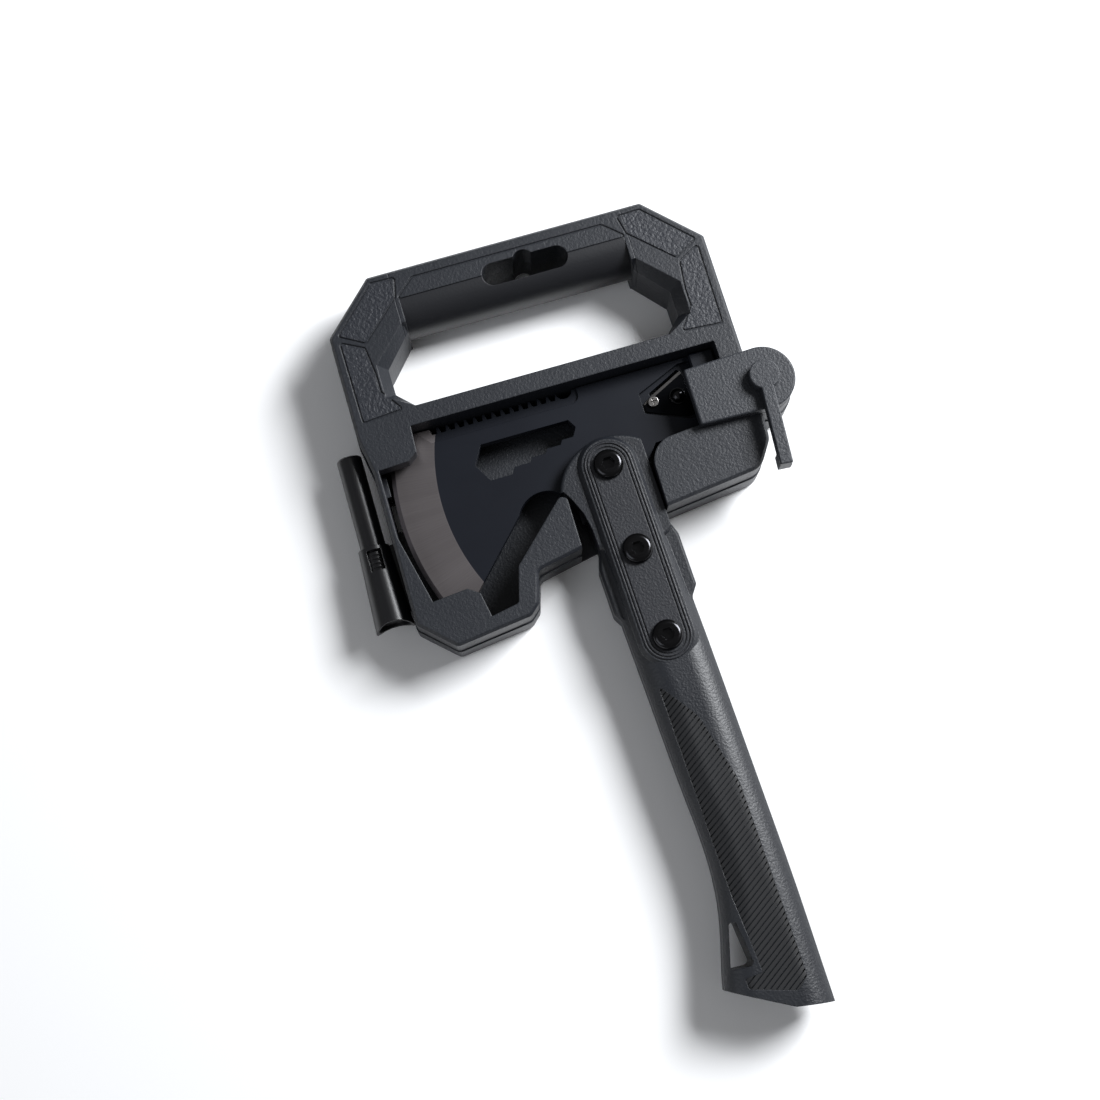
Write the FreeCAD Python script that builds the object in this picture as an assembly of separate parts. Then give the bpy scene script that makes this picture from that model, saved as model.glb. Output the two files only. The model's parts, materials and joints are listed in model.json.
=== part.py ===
import FreeCAD, Part
import math
import os

from FreeCAD import Vector

# A camping hatchet latched in its moulded carry case, lying on its back, in millimetres.
# +Z is the front of the case, +Y points to the hand opening, the handle runs to -Y.
# The origin is on the back face of the case, under the middle of the hatchet head.

# ---------------------------------------------------------------- driving dimensions
# Hatchet head
edge_x = -78.7              # cutting edge, furthest to the left
head_length = 154.0         # cutting edge to hammer face
head_top = 36.8             # straight upper edge of the head
head_thickness = 5.0
edge_radius = 111.9         # the cutting edge is an arc of this radius
edge_centre_y = 1.8
bevel_width = 19.6          # bare ground strip behind the edge
microbevel_width = 1.8
edge_land = 0.1             # thickness left at the very edge
poll_length = 11.5          # thick hammer block at the right end
poll_height = 38.0
poll_thickness = 12.0
wrench_sizes = (17.0, 14.0, 12.0, 10.0, 8.0)
wrench_reach = (48.2, 58.2, 66.3, 74.3, 81.2)   # each hexagon's centre, from the cutting edge
wrench_top = 23.5
beard_radius = 13.4
toe_inset = 13.4            # lower corner of the blade, from the foremost point of the edge
tooth_count = 15
tooth_pitch = 4.2
tooth_depth = 2.8

# Handle
handle_from_poll = 60.35    # hammer face to the first screw
first_screw_y = -3.4
handle_lean = 1.75          # degrees, handle against the head
screw_pitch = 39.35
side_rounding = 12.0        # width of the curve from the handle's front to its side
screw_count = 3
handle_thickness = 22.4
handle_end = 242.0          # first screw to the lowest corner of the butt
collar_radius = 26.5
collar_thickness = 18.0
collar_right = 17.5         # flat side of the collar, next to the case
guard_left = 18.0           # raised shoulders on the two sides, from the handle's middle
guard_right = 19.8
guard_thickness = 13.0
tang_width = 20.0
tang_length = 92.0          # below the first screw
plate_radius = 10.6         # rounded ends of the side plates
plate_thickness = 1.6
plate_proud = 0.6           # the side plates stand this far out of the handle
spine_radius = 13.2         # thick middle of the handle, round the side plates
spine_chamfer = 1.6
screw_diameter = 6.0
screw_head_diameter = 13.2
screw_head_height = 3.0
screw_length = 18.0
screw_socket = 5.0
nut_radius = 4.0
nut_flange_radius = 6.4
nut_flange_thickness = 1.0
inlay_depth = 1.2

# Case
case_thickness = 28.0
split_z = 14.0              # plane where the two shells meet
wall = 2.5
floor_thickness = 2.5
parting_step = 0.6          # the back shell stands this far proud of the front one
edge_chamfer = 1.2
opening_height = 34.7
opening_half_width = 65.2
side_bar = 21.3             # frame beside the hand opening
lower_bar = 9.1             # between the pocket and the hand opening
grip_bar = 28.0             # bar that the hand holds
corner_cut = 23.0           # sloped outer corners of the frame
grip_half_length = 52.0
hang_slot_length = 39.5
hang_slot_height = 10.2
hang_slot_x = 5.8
hang_slot_drop = 13.8       # lower side of the grip bar to the middle of the slot
hang_bump_radius = 4.8

# Latch
pivot_from_poll = 14.9
pivot_y = 13.7
lobe_radius = 14.2
arm_thickness = 4.7
arm_reach = 32.4
pin_diameter = 6.0
lever_radius = 6.7
lever_width = 5.6
lever_length = 41.0
lever_thickness = 4.6
lever_lean = 4.4            # degrees

# Fire starter tube
sleeve_radius = 6.9
sleeve_flare = 1.7          # how much wider the sleeve is at its lower end
sleeve_length = 37.0
cap_radius = 5.6
cap_length = 42.5
sleeve_bore = 4.9           # radius
sleeve_wall = 1.4
tube_y = -8.0               # seam between the cap and the sleeve
rod_diameter = 5.0
rod_length = 28.5

# Clearances
head_gap = 0.5              # head to pocket wall
plate_floor_gap = 0.7       # back side plate to the case floor
tab_gap = 3.0               # head to the tabs over it, room to tip
move_gap = 0.3              # between pieces that move past each other
run_gap = 0.05              # radial, pins and plungers in their bores

# ---------------------------------------------------------------- levels and places
mid_z = floor_thickness + plate_floor_gap + plate_proud + handle_thickness / 2
handle_front = mid_z + handle_thickness / 2
handle_back = mid_z - handle_thickness / 2
head_front = mid_z + head_thickness / 2
head_back = mid_z - head_thickness / 2
tab_z = head_front + tab_gap
poll_x = edge_x + head_length
edge_centre_x = edge_x + edge_radius
handle_x = poll_x - handle_from_poll
pivot_x = poll_x + pivot_from_poll
pocket_top = head_top + head_gap
pocket_right = poll_x + head_gap
pocket_left = edge_x - 2.6
opening_bottom = pocket_top + lower_bar
opening_top = opening_bottom + opening_height
frame_top = opening_top + grip_bar
frame_right = opening_half_width + side_bar
rib_x = handle_x - 21.5     # case rib, left of the handle
pad_x = handle_x + 19.2     # case pad, right of the handle
arm_z = case_thickness + move_gap
lever_z = arm_z + arm_thickness + move_gap
tube_x = -frame_right - parting_step - move_gap - cap_radius
tube_z = split_z


# ---------------------------------------------------------------- small helpers
def point(x, y, z=0.0):
    return Vector(x, y, z)


def outline(corners, z=0.0):
    """Closed wire through the corners; a corner's third number rounds it."""
    count = len(corners)
    starts = []
    ends = []
    middles = []
    for index, corner in enumerate(corners):
        here = point(corner[0], corner[1], z)
        before = point(corners[index - 1][0], corners[index - 1][1], z)
        after = point(corners[(index + 1) % count][0], corners[(index + 1) % count][1], z)
        radius = corner[2] if len(corner) > 2 else 0.0
        back = (before - here).normalize()
        ahead = (after - here).normalize()
        if radius == 0.0:
            starts.append(here)
            ends.append(here)
            middles.append(None)
            continue
        half_angle = back.getAngle(ahead) / 2
        reach = radius / math.tan(half_angle)
        centre_way = (back + ahead).normalize()
        centre = here + centre_way * (radius / math.sin(half_angle))
        starts.append(here + back * reach)
        ends.append(here + ahead * reach)
        middles.append(centre - centre_way * radius)
    edges = []
    for index in range(count):
        if middles[index] is not None:
            arc = Part.Arc(starts[index], middles[index], ends[index])
            edges.append(arc.toShape())
        following = starts[(index + 1) % count]
        if (following - ends[index]).Length > 1e-6:
            edges.append(Part.makeLine(ends[index], following))
    return Part.Wire(edges)


def slab(corners, z_low, z_high):
    face = Part.Face(outline(corners, z_low))
    return face.extrude(point(0, 0, z_high - z_low))


def disc(x, y, radius, z_low, z_high):
    return Part.makeCylinder(radius, z_high - z_low, point(x, y, z_low))


def block(x_low, x_high, y_low, y_high, z_low, z_high):
    return Part.makeBox(x_high - x_low, y_high - y_low, z_high - z_low, point(x_low, y_low, z_low))


def tapered(corners_low, z_low, corners_high, z_high):
    """Solid between two outlines with the same number of straight sides."""
    return Part.makeLoft([outline(corners_low, z_low), outline(corners_high, z_high)], True, True)


def groove(corners, width, z_low, z_high):
    """Narrow ring that follows an outline, for engraved lines."""
    face = Part.Face(outline(corners, z_low))
    outer = face.makeOffset2D(width / 2)
    inner = face.makeOffset2D(-width / 2)
    rise = point(0, 0, z_high - z_low)
    return outer.extrude(rise).cut(inner.extrude(rise))


def edges_at(shape, z):
    """Edges that lie flat at one height."""
    found = []
    for edge in shape.Edges:
        box = edge.BoundBox
        if abs(box.ZMin - z) < 1e-4 and abs(box.ZMax - z) < 1e-4:
            found.append(edge)
    return found


def hexagon(x, y, across_flats, z_low, z_high):
    """Hexagonal prism with a flat at the top and one at the bottom."""
    reach = across_flats / math.sqrt(3)
    corners = []
    for turn in range(6):
        angle = math.radians(60 * turn)
        corners.append((x + reach * math.cos(angle), y + reach * math.sin(angle)))
    return slab(corners, z_low, z_high)


def stadium(x, y_low, y_high, radius, z_low, z_high):
    """Slot-shaped slab with its length along Y; the ends are round about y_low and y_high."""
    middle = block(x - radius, x + radius, y_low, y_high, z_low, z_high)
    ends = [disc(x, y_low, radius, z_low, z_high), disc(x, y_high, radius, z_low, z_high)]
    return middle.fuse(ends).removeSplitter()


def lean(shape):
    """Turn handle geometry, drawn straight down from the first screw, to its real slant."""
    shape.rotate(point(handle_x, first_screw_y), point(0, 0, 1), handle_lean)
    return shape


saved = []


def save(name, shape):
    if shape.isNull() or not shape.isValid():
        raise ValueError(name + " is not a valid solid")
    if len(shape.Solids) == 1:
        shape = shape.Solids[0]
    shape.exportStep("parts/" + name + ".step")
    saved.append(name)
    print(name, len(shape.Solids), "solid(s)", round(shape.Volume / 1000, 2), "cm3")


# ---------------------------------------------------------------- case outlines
def case_outline(grow):
    """Outside of the case; grow moves every side outwards."""
    right = frame_right + grow
    top = frame_top + grow
    rim = pocket_left - wall - grow
    slope = grow * math.tan(math.radians(22.5))
    return [
        (-right + corner_cut + slope - grow, top, 2.0),
        (-right, top - corner_cut - slope + grow, 2.0),
        (-right, pocket_top, 2.0),
        (rim, pocket_top - 16.0, 3.0),
        (rim, -48.0 - slope, 3.0),
        (edge_x + 9.6, -62.0 - grow, 3.0),
        (edge_x + 43.0 + slope, -58.0 - grow, 4.0),
        (edge_x + 47.5 + grow, -54.0, 3.0),
        (edge_x + 51.5 + grow, -40.0 - grow, 3.0),
        (rib_x, -36.0 - grow, 2.0),
        (pad_x - 1.0, -28.6 - grow, 3.0),
        (pivot_x - 12.0, -23.4 - grow, 9.0),
        (pivot_x - 4.6 + grow, -12.0, 7.0),
        (right, pivot_y - lobe_radius + 3.0),
        (right, top - corner_cut - slope + grow, 2.0),
        (right - corner_cut - slope + grow, top, 2.0),
    ]


opening_low = [
    (-opening_half_width + 8.2, opening_bottom),
    (opening_half_width - 8.2, opening_bottom),
    (opening_half_width, opening_bottom + 8.2),
    (opening_half_width, opening_top - 14.5),
    (opening_half_width - 12.7, opening_top),
    (-opening_half_width + 12.7, opening_top),
    (-opening_half_width, opening_top - 14.5),
    (-opening_half_width, opening_bottom + 8.2),
]
bevel_out = 4.6
opening_high = [
    (-opening_half_width + 7.2, opening_bottom - 0.8),
    (opening_half_width - 7.2, opening_bottom - 0.8),
    (opening_half_width + bevel_out, opening_bottom + 6.2),
    (opening_half_width + bevel_out, opening_top - 13.0),
    (opening_half_width - 11.2, opening_top + 3.0),
    (-opening_half_width + 11.2, opening_top + 3.0),
    (-opening_half_width - bevel_out, opening_top - 13.0),
    (-opening_half_width - bevel_out, opening_bottom + 6.2),
]

# Handle exit and pad side of the pocket, shared by both levels of it
pocket_right_side = [
    (pocket_right, pocket_top, 0.6),
    (pocket_right, 3.6, 0.6),
    (pad_x, 0.2, 11.5),
    (pad_x, -50.0),
    (rib_x, -50.0),
    (rib_x, -13.0, 2.0),
    (rib_x - 3.0, -11.6, 2.0),
    (edge_x + 43.8, -35.9, 2.0),
    (edge_x + 39.5, -51.3, 2.0),
]

# Seen from the front: the window between the tabs that hold the blade
window = [(edge_x + 16.0, pocket_top)] + pocket_right_side + [
    (edge_x + 27.0, -53.6),
    (edge_x + 25.0, -42.6),
    (edge_x + 20.1, -39.2),
    (edge_x + 4.6, -40.6),
    (pocket_left, -9.0),
    (pocket_left, pocket_top - 15.8),
    (edge_x + 11.0, pocket_top - 15.2, 1.0),
    (edge_x + 15.4, pocket_top - 12.0, 1.0),
]

# Below the tabs: room for the whole blade
pocket = [(pocket_left, pocket_top, 1.0)] + pocket_right_side + [
    (edge_x + 27.0, -53.6, 2.0),
    (edge_x + 18.0, -56.0, 2.0),
    (edge_x + 8.0, -54.6, 3.0),
    (pocket_left, -44.0, 3.0),
]

# Hollow cores inside the shells
hollow_left = [
    (-frame_right + wall, pocket_top + 2.0, 2.0),
    (-opening_half_width - bevel_out - wall, pocket_top + 2.0, 2.0),
    (-opening_half_width - bevel_out - wall, opening_top - 10.0, 2.0),
    (-opening_half_width + 6.0, opening_top + 8.0, 2.0),
    (-frame_right + corner_cut, frame_top - wall - 1.0, 2.0),
    (-frame_right + wall, frame_top - corner_cut - 1.0, 2.0),
]
hollow_right = [(-corner[0], corner[1], corner[2]) for corner in reversed(hollow_left)]
hollow_pad = [
    (pad_x + wall, -25.5, 2.0),
    (pivot_x - 13.0, -21.5, 6.0),
    (pivot_x - 8.0, -11.0, 4.0),
    (pivot_x - 7.0, -2.6, 2.0),
    (pocket_right - 3.0, -0.2, 2.0),
    (pad_x + 18.0, -3.6, 4.0),
    (pad_x + wall, -12.0, 4.0),
]
hollows = [hollow_left, hollow_right, hollow_pad]

# Self-tapping screws from the back: x, y
boss_radius = 4.0
case_screw_radius = 1.5
case_screw_head_radius = 2.8
case_screw_places = [
    (-frame_right + 9.0, pocket_top + 12.0),
    (-frame_right + 9.0, frame_top - corner_cut - 7.0),
    (frame_right - 9.0, pocket_top + 12.0),
    (frame_right - 9.0, frame_top - corner_cut - 7.0),
    (-opening_half_width + 16.0, frame_top - 9.0),
    (opening_half_width - 16.0, frame_top - 9.0),
    (pad_x + 12.0, -16.0),
    (edge_x + 46.0, -44.0),
    (rib_x - 7.0, -27.0),
]


# ---------------------------------------------------------------- case shells
def hang_slot():
    """Slot for hanging on a hook, through the grip bar, with a round bump at the top."""
    y = opening_top + hang_slot_drop
    radius = hang_slot_height / 2
    half = hang_slot_length / 2 - radius
    middle = block(hang_slot_x - half, hang_slot_x + half, y - radius, y + radius, -1, case_thickness + 1)
    left = disc(hang_slot_x - half, y, radius, -1, case_thickness + 1)
    right = disc(hang_slot_x + half, y, radius, -1, case_thickness + 1)
    bump = disc(hang_slot_x, y + radius - 2.4, hang_bump_radius, -1, case_thickness + 1)
    return middle.fuse([left, right, bump]).removeSplitter()


grip_y = opening_top + case_thickness / 2
grip_wall = 2.6


def grip_space():
    """Half-round lower side of the grip bar, between its two seams."""
    round_bar = Part.makeCylinder(case_thickness / 2, 2 * grip_half_length,
                                  point(-grip_half_length, grip_y, case_thickness / 2), point(1, 0, 0))
    half = block(-grip_half_length, grip_half_length, opening_top - 1, grip_y, -1, case_thickness + 1)
    return round_bar.common(half)


def grip_core():
    """Rounded core of the grip bar, inside the soft cover."""
    radius = case_thickness / 2 - grip_wall
    core = Part.makeCylinder(radius, 2 * grip_half_length,
                             point(-grip_half_length, grip_y, case_thickness / 2), point(1, 0, 0))
    return core.common(block(-grip_half_length, grip_half_length, opening_top - 1, grip_y, -1, case_thickness))


def around_grip():
    """All that is cut away from the lower half of the bar before its core is put back."""
    return block(-grip_half_length, grip_half_length, opening_top - 1, grip_y, -1, case_thickness + 1)


bar_seam = grip_half_length + 2.0    # where the grip bar pieces end, on both sides


def bar_space():
    """Room of the grip bar, which is a piece of its own on each half of the case."""
    middle_y = (opening_bottom + opening_top) / 2
    return block(-bar_seam, bar_seam, middle_y, frame_top + edge_chamfer, -1, case_thickness + 1)


def case_blank(grow, z_low, z_high, outside_z):
    body = slab(case_outline(grow), z_low, z_high)
    body = body.fuse(disc(pivot_x, pivot_y, lobe_radius + grow, z_low, z_high)).removeSplitter()
    return body.makeChamfer(edge_chamfer, edges_at(body, outside_z))


def pivot_bore():
    return disc(pivot_x, pivot_y, pin_diameter / 2 + run_gap, -1, case_thickness + 1)


def make_case_front():
    body = case_blank(0.0, split_z, case_thickness, case_thickness)
    body = body.cut(slab(opening_low, split_z - 1, case_thickness + 1))
    body = body.cut(tapered(opening_low, case_thickness - 6.0, opening_high, case_thickness))
    body = body.cut(around_grip())
    body = body.fuse(grip_core().common(block(-200, 200, 0, 200, split_z, case_thickness)))
    body = body.cut(slab(pocket, split_z - 1, tab_z))
    body = body.cut(slab(window, tab_z - 1, case_thickness + 1))
    for hollow in hollows:
        body = body.cut(slab(hollow, split_z - 1, case_thickness - wall))
    for x, y in case_screw_places:
        body = body.fuse(disc(x, y, boss_radius, split_z, case_thickness - wall))
    for x, y in case_screw_places:
        body = body.cut(disc(x, y, case_screw_radius, split_z - 1, split_z + 8.0))
    body = body.cut(hang_slot())
    body = body.cut(pivot_bore())
    body = body.cut(disc(pivot_x, pivot_y, washer_radius + 0.1, case_thickness - washer_thickness,
                         case_thickness + 1))
    for line in engraved_lines():
        body = body.cut(line)
    return body.removeSplitter()


def engraved_lines():
    """Shallow outlines round the textured panels of the frame and along the grip."""
    depth = 0.45
    width = 0.7
    top = case_thickness
    right = frame_right
    upper_panel = [
        (-right + 24.0, frame_top - 3.2, 1.0),
        (-right + 4.0, frame_top - 23.5, 1.0),
        (-right + 15.0, frame_top - 29.8, 1.0),
        (-right + 33.0, frame_top - 12.5, 1.0),
        (-right + 35.0, frame_top - 3.5, 1.0),
    ]
    lower_panel = [
        (-right + 4.0, frame_top - 26.5, 1.0),
        (-right + 4.5, opening_bottom - 2.2, 1.0),
        (-right + 22.8, opening_bottom - 0.8, 1.0),
        (-right + 15.5, opening_bottom + 9.5, 1.0),
        (-right + 15.5, opening_top - 17.0, 1.0),
        (-right + 14.0, frame_top - 31.8, 1.0),
    ]
    grip_panel = [
        (-grip_half_length - 1.5, grip_y, 1.0),
        (-grip_half_length + 8.0, frame_top - 5.4, 2.0),
        (grip_half_length - 8.0, frame_top - 5.4, 2.0),
        (grip_half_length + 1.5, grip_y, 1.0),
    ]
    panels = [upper_panel, lower_panel, grip_panel]
    for panel in (upper_panel, lower_panel):
        panels.append([(-corner[0], corner[1], corner[2]) for corner in reversed(panel)])
    return [groove(panel, width, top - depth, top + 1) for panel in panels]


# Supports that the head rests over, drawn as x, y, radius
support_places = [
    (edge_x + 30.0, 24.0, 4.0),
    (edge_x + 30.0, -22.0, 4.0),
    (edge_x + 112.0, 27.0, 4.0),
    (poll_x - 16.0, 8.0, 4.0),
]
rest_gap = 0.3
drain_low = -1.0            # slot through the floor beside the cutting edge
drain_high = 12.0


def make_case_back():
    body = case_blank(parting_step, 0.0, split_z, 0.0)
    body = body.cut(slab(opening_low, -1, split_z + 1))
    body = body.cut(around_grip())
    body = body.fuse(grip_core().common(block(-200, 200, 0, 200, 0, split_z)))
    body = body.cut(slab(pocket, floor_thickness, split_z + 1))
    for hollow in hollows:
        body = body.cut(slab(hollow, floor_thickness, split_z + 1))
    for x, y, radius in support_places:
        body = body.fuse(disc(x, y, radius, floor_thickness - 0.5, head_back - rest_gap))
    for x, y in case_screw_places:
        body = body.fuse(disc(x, y, boss_radius, floor_thickness - 0.5, split_z))
    for x, y in case_screw_places:
        body = body.cut(disc(x, y, case_screw_radius + 0.3, -1, split_z + 1))
        body = body.cut(disc(x, y, case_screw_head_radius + 0.2, -1, case_screw_head_height + 0.6))
    body = body.cut(block(pocket_left + 0.2, edge_x + 6.0, drain_low, drain_high, -1, floor_thickness + 1))
    body = body.fuse(block(pocket_left - 0.1, edge_x - 0.6, drain_high + 0.6, drain_high + 10.0, 1.0, split_z))
    body = body.cut(hang_slot())
    body = body.cut(pivot_bore())
    body = body.cut(disc(pivot_x, pivot_y, clip_radius + 1.0, -1, clip_recess))
    return body.removeSplitter()


case_screw_head_height = 2.0
case_screw_length = 18.0


def make_case_screws():
    screws = []
    for x, y in case_screw_places:
        head = disc(x, y, case_screw_head_radius, 0.6, 0.6 + case_screw_head_height)
        shank = disc(x, y, case_screw_radius, 0.6, 0.6 + case_screw_length)
        drive = block(x - 1.6, x + 1.6, y - 0.35, y + 0.35, 0, 1.6)
        cross = block(x - 0.35, x + 0.35, y - 1.6, y + 1.6, 0, 1.6)
        screws.append(head.fuse(shank).cut(drive.fuse(cross)).removeSplitter())
    return Part.makeCompound(screws)


def make_grip_cover():
    return grip_space().cut(grip_core()).cut(hang_slot())


# ---------------------------------------------------------------- latch
washer_radius = 9.0
washer_thickness = 1.0
clip_radius = 5.0
clip_thickness = 1.0
clip_recess = 3.4
pin_groove_radius = 2.2
pin_press = 3.0             # how far the pin is pressed into the lever


def make_latch_washer():
    ring = disc(pivot_x, pivot_y, washer_radius, case_thickness - washer_thickness, case_thickness)
    return ring.cut(pivot_bore())


def make_latch_arm():
    left = pivot_x - arm_reach
    top = arm_z + arm_thickness
    plate = slab([
        (left, pivot_y - lobe_radius + 1.2, 1.2),
        (pivot_x, pivot_y - lobe_radius),
        (pivot_x, pivot_y + lobe_radius),
        (left, pivot_y + lobe_radius - 1.2, 1.2),
    ], arm_z, top)
    arm = plate.fuse(disc(pivot_x, pivot_y, lobe_radius, arm_z, top)).removeSplitter()
    arm = arm.makeFillet(0.9, edges_at(arm, top))
    return arm.cut(disc(pivot_x, pivot_y, pin_diameter / 2 + run_gap, arm_z - 1, top + 1))


def make_lock_lever():
    top = lever_z + lever_thickness
    half = lever_width / 2
    bar = slab([
        (pivot_x - half, pivot_y),
        (pivot_x - half, pivot_y - lever_length, 0.6),
        (pivot_x + half, pivot_y - lever_length, 0.6),
        (pivot_x + half, pivot_y),
    ], lever_z, top)
    lever = bar.fuse(disc(pivot_x, pivot_y, lever_radius, lever_z, top)).removeSplitter()
    lever = lever.makeFillet(0.6, edges_at(lever, top))
    finger = block(pivot_x - half, pivot_x + half, pivot_y - lever_length, pivot_y - arm_reach - 3.0,
                   case_thickness + 2 * move_gap, lever_z + 1)
    lever = lever.fuse(finger).removeSplitter()
    lever = lever.cut(disc(pivot_x, pivot_y, pin_diameter / 2, lever_z - 1, lever_z + pin_press))
    lever.rotate(point(pivot_x, pivot_y), point(0, 0, 1), -lever_lean)
    return lever


def make_pivot_pin():
    low = clip_recess - clip_thickness - 1.4
    pin = disc(pivot_x, pivot_y, pin_diameter / 2, low, lever_z + pin_press)
    groove_ring = disc(pivot_x, pivot_y, pin_diameter, clip_recess - clip_thickness - move_gap,
                       clip_recess - move_gap)
    groove_ring = groove_ring.cut(disc(pivot_x, pivot_y, pin_groove_radius, 0, case_thickness))
    return pin.cut(groove_ring)


def make_pivot_clip():
    low = clip_recess - clip_thickness - move_gap
    ring = disc(pivot_x, pivot_y, clip_radius, low, low + clip_thickness)
    ring = ring.cut(disc(pivot_x, pivot_y, pin_groove_radius, 0, case_thickness))
    mouth = block(pivot_x - 1.4, pivot_x + 1.4, pivot_y - clip_radius - 1, pivot_y - 1.5, 0, case_thickness)
    return ring.cut(mouth)


# ---------------------------------------------------------------- fire starter tube
neck_length = 12.0
plug_radius = sleeve_bore - run_gap
tab_width = 5.4
tab_length = 9.0
tab_thickness = 1.2
window_width = 6.2
window_height = 9.6
window_drop = 1.6           # seam to the window
bore_depth = 32.0


def along_y(radius, y_low, y_high):
    return Part.makeCylinder(radius, y_high - y_low, point(tube_x, y_low, tube_z), point(0, 1, 0))


def make_tube_sleeve():
    low = tube_y - sleeve_length
    wide = sleeve_radius + sleeve_flare
    body = Part.makeCone(wide, sleeve_radius, sleeve_length, point(tube_x, low, tube_z), point(0, 1, 0))
    wall_x = pocket_left - wall - parting_step
    web = block(tube_x, wall_x, low + 6.0, tube_y, tube_z - 5.0, tube_z - 0.5)
    body = body.fuse(web)
    body = body.cut(block(wall_x, wall_x + 20, low - 1, tube_y + 1, -20, case_thickness + 20))
    body = body.cut(along_y(sleeve_bore, tube_y - bore_depth, tube_y + 1))
    body = body.cut(along_y(wide - sleeve_wall, low - 1, low + 4.0))
    scoop = 1.6 * wide
    body = body.cut(Part.makeCylinder(scoop, 4 * wide, point(tube_x, low + 2.6 - scoop, tube_z - 2 * wide)))
    top = tube_y - window_drop
    body = body.cut(block(tube_x - window_width / 2, tube_x + window_width / 2,
                          top - window_height, top, tube_z, tube_z + 2 * sleeve_radius))
    return body.removeSplitter()


def tab_space(extra):
    """Room for the release tab in the neck of the cap."""
    top = tube_y - window_drop - 0.5 + extra
    half = tab_width / 2 + extra
    deep = tube_z + plug_radius - tab_thickness - 1.4 * (1 if extra else 0)
    return block(tube_x - half, tube_x + half, top - tab_length - 2 * extra, top, deep, tube_z + 2 * plug_radius)


def make_starter_cap():
    body = along_y(cap_radius, tube_y + move_gap, tube_y + cap_length)
    body = body.makeFillet(1.2, [edge for edge in body.Edges if edge.BoundBox.YMin > tube_y + cap_length - 0.01])
    neck = along_y(plug_radius, tube_y - neck_length, tube_y + 1)
    body = body.fuse(neck).removeSplitter()
    body = body.cut(along_y(rod_diameter / 2, tube_y - neck_length - 1, tube_y - neck_length + 10.0))
    return body.cut(tab_space(0.3))


def make_ferro_rod():
    top = tube_y - neck_length + 10.0
    return along_y(rod_diameter / 2, top - rod_length, top)


def make_release_tab():
    body = along_y(plug_radius, tube_y - neck_length, tube_y)
    body = body.common(tab_space(0.0))
    for step in range(4):
        y = tube_y - window_drop - 2.4 - 1.9 * step
        body = body.cut(block(tube_x - tab_width, tube_x + tab_width, y - 0.4, y + 0.4,
                              tube_z + plug_radius - 0.5, tube_z + 2 * plug_radius))
    return body


# ---------------------------------------------------------------- hatchet head
def edge_rise(x):
    """Height of the cutting arc over its centre, at one x."""
    return math.sqrt(edge_radius ** 2 - (x - edge_centre_x) ** 2)


def blade_outline_wire(z):
    """Head seen from the front: arc edge, straight top, square poll, hooked beard."""
    toe_x = edge_x + toe_inset
    toe_y = edge_centre_y - edge_rise(toe_x)
    heel_x = edge_x + 5.3
    heel_y = min(edge_centre_y + edge_rise(heel_x), head_top - 0.5)
    notch_x = handle_x - 31.0
    notch_y = -18.0
    notch_left = notch_x - beard_radius * math.cos(math.radians(25))
    notch_low = notch_y + beard_radius * math.sin(math.radians(25))
    neck_left = notch_x + beard_radius
    corners = [
        point(heel_x, heel_y, z),
        point(heel_x + 1.2, head_top, z),
        point(poll_x - 1.0, head_top, z),
        point(poll_x, head_top - 1.0, z),
        point(poll_x, 5.0, z),
        point(poll_x - 1.0, 4.2, z),
        point(handle_x + 24.0, 2.6, z),
        point(handle_x + tang_width / 2, -14.0, z),
        point(neck_left, -24.0, z),
        point(neck_left, notch_y, z),
    ]
    edges = []
    for first, second in zip(corners, corners[1:]):
        edges.append(Part.makeLine(first, second))
    notch_top = point(notch_x, notch_y + beard_radius, z)
    notch_end = point(notch_left, notch_low, z)
    edges.append(Part.Arc(corners[-1], notch_top, notch_end).toShape())
    toe = point(toe_x, toe_y, z)
    edges.append(Part.makeLine(notch_end, toe))
    edges.append(Part.Arc(toe, point(edge_x, edge_centre_y, z), corners[0]).toShape())
    return Part.Wire(edges)


def bevel_ring(side):
    """Metal ground away from one side of the edge, as a ring about the edge's centre."""
    inner = edge_radius - bevel_width
    step = edge_radius - microbevel_width
    flat = head_thickness / 2
    land = edge_land / 2
    shoulder = land + 0.75
    section = [
        point(inner, 0, flat),
        point(step, 0, shoulder),
        point(edge_radius, 0, land),
        point(edge_radius + 5, 0, land),
        point(edge_radius + 5, 0, flat + 5),
        point(inner, 0, flat + 5),
        point(inner, 0, flat),
    ]
    ring = Part.Face(Part.makePolygon(section)).revolve(point(0, 0, 0), point(0, 0, 1), 360)
    if side < 0:
        ring.rotate(point(0, 0, 0), point(1, 0, 0), 180)
    ring.translate(point(edge_centre_x, edge_centre_y, mid_z))
    return ring


def wrench_cutout():
    """Stepped row of hexagons that share one straight upper side."""
    low = head_back - 1
    high = head_front + 1
    shapes = []
    for size, reach in zip(wrench_sizes, wrench_reach):
        shapes.append(hexagon(edge_x + reach, wrench_top - size / 2, size, low, high))
    for index in range(len(wrench_sizes) - 1):
        size = wrench_sizes[index + 1]
        left = edge_x + wrench_reach[index]
        right = edge_x + wrench_reach[index + 1]
        shapes.append(block(left, right, wrench_top - size, wrench_top, low, high))
    return shapes[0].fuse(shapes[1:]).removeSplitter()


tooth_start = edge_x + 23.0
relief_end = tooth_start + tooth_count * tooth_pitch + 5.0
relief_low = head_top - 6.6


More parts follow.
